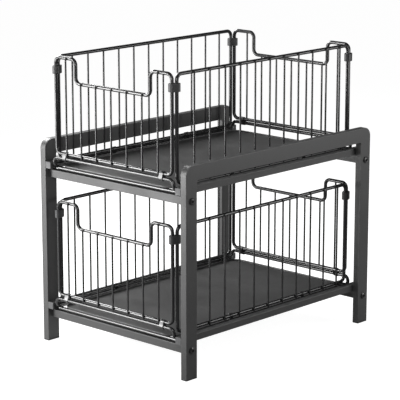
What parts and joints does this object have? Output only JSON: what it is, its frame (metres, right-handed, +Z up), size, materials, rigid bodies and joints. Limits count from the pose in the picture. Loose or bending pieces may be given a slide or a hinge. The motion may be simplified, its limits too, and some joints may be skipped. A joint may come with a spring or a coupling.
{
  "type": "pull-out basket organizer",
  "caption": "Free-standing tiered organizer: a dark tube frame with wire baskets that pull out to the front on side rails.",
  "frame": {"origin": "middle of the footprint at the height of the surface it stands on", "axes": "+X to the right seen from the front, +Y to the back, +Z up; the baskets pull out along -Y"},
  "size_m": [0.2808, 0.3819, 0.4063],
  "materials": {
    "frame_paint": "satin",
    "wire_coating": "gloss",
    "tray_sheet": "satin",
    "clip_plastic": "matte",
    "plug_plastic": "matte",
    "glide_nylon": "satin",
    "sleeve_metal": "gloss",
    "screw_steel": "black oxide"
  },
  "bodies": {
    "frame": {"left_side_frame": "frame_paint", "right_side_frame": "frame_paint", "upper_left_rail": "frame_paint", "upper_right_rail": "frame_paint", "lower_left_rail": "frame_paint", "lower_right_rail": "frame_paint", "upper_front_crossbar": "frame_paint", "upper_rear_crossbar": "frame_paint", "lower_front_crossbar": "frame_paint", "lower_rear_crossbar": "frame_paint", "frame_screws": "screw_steel", "foot_plugs": "plug_plastic", "rail_end_plugs": "plug_plastic", "upper_front_glides": "glide_nylon", "lower_front_glides": "glide_nylon"},
    "upper_basket": {"upper_base_ring": "wire_coating", "upper_cross_wires": "wire_coating", "upper_floor_wires": "wire_coating", "upper_tray": "tray_sheet", "upper_front_panel": "wire_coating", "upper_rear_panel": "wire_coating", "upper_left_panel": "wire_coating", "upper_right_panel": "wire_coating", "upper_corner_clips": "clip_plastic", "upper_hinge_sleeves": "sleeve_metal", "upper_rear_shoes": "glide_nylon"},
    "lower_basket": {"lower_base_ring": "wire_coating", "lower_cross_wires": "wire_coating", "lower_floor_wires": "wire_coating", "lower_tray": "tray_sheet", "lower_front_panel": "wire_coating", "lower_rear_panel": "wire_coating", "lower_left_panel": "wire_coating", "lower_right_panel": "wire_coating", "lower_corner_clips": "clip_plastic", "lower_hinge_sleeves": "sleeve_metal", "lower_rear_shoes": "glide_nylon"}
  },
  "joints": [
    {"name": "upper_basket_slide", "type": "slide", "parent": "frame", "child": "upper_basket", "axis": [0, -1, 0], "range_m": [0, 0.27]},
    {"name": "lower_basket_slide", "type": "slide", "parent": "frame", "child": "lower_basket", "axis": [0, -1, 0], "range_m": [0, 0.27]}
  ]
}
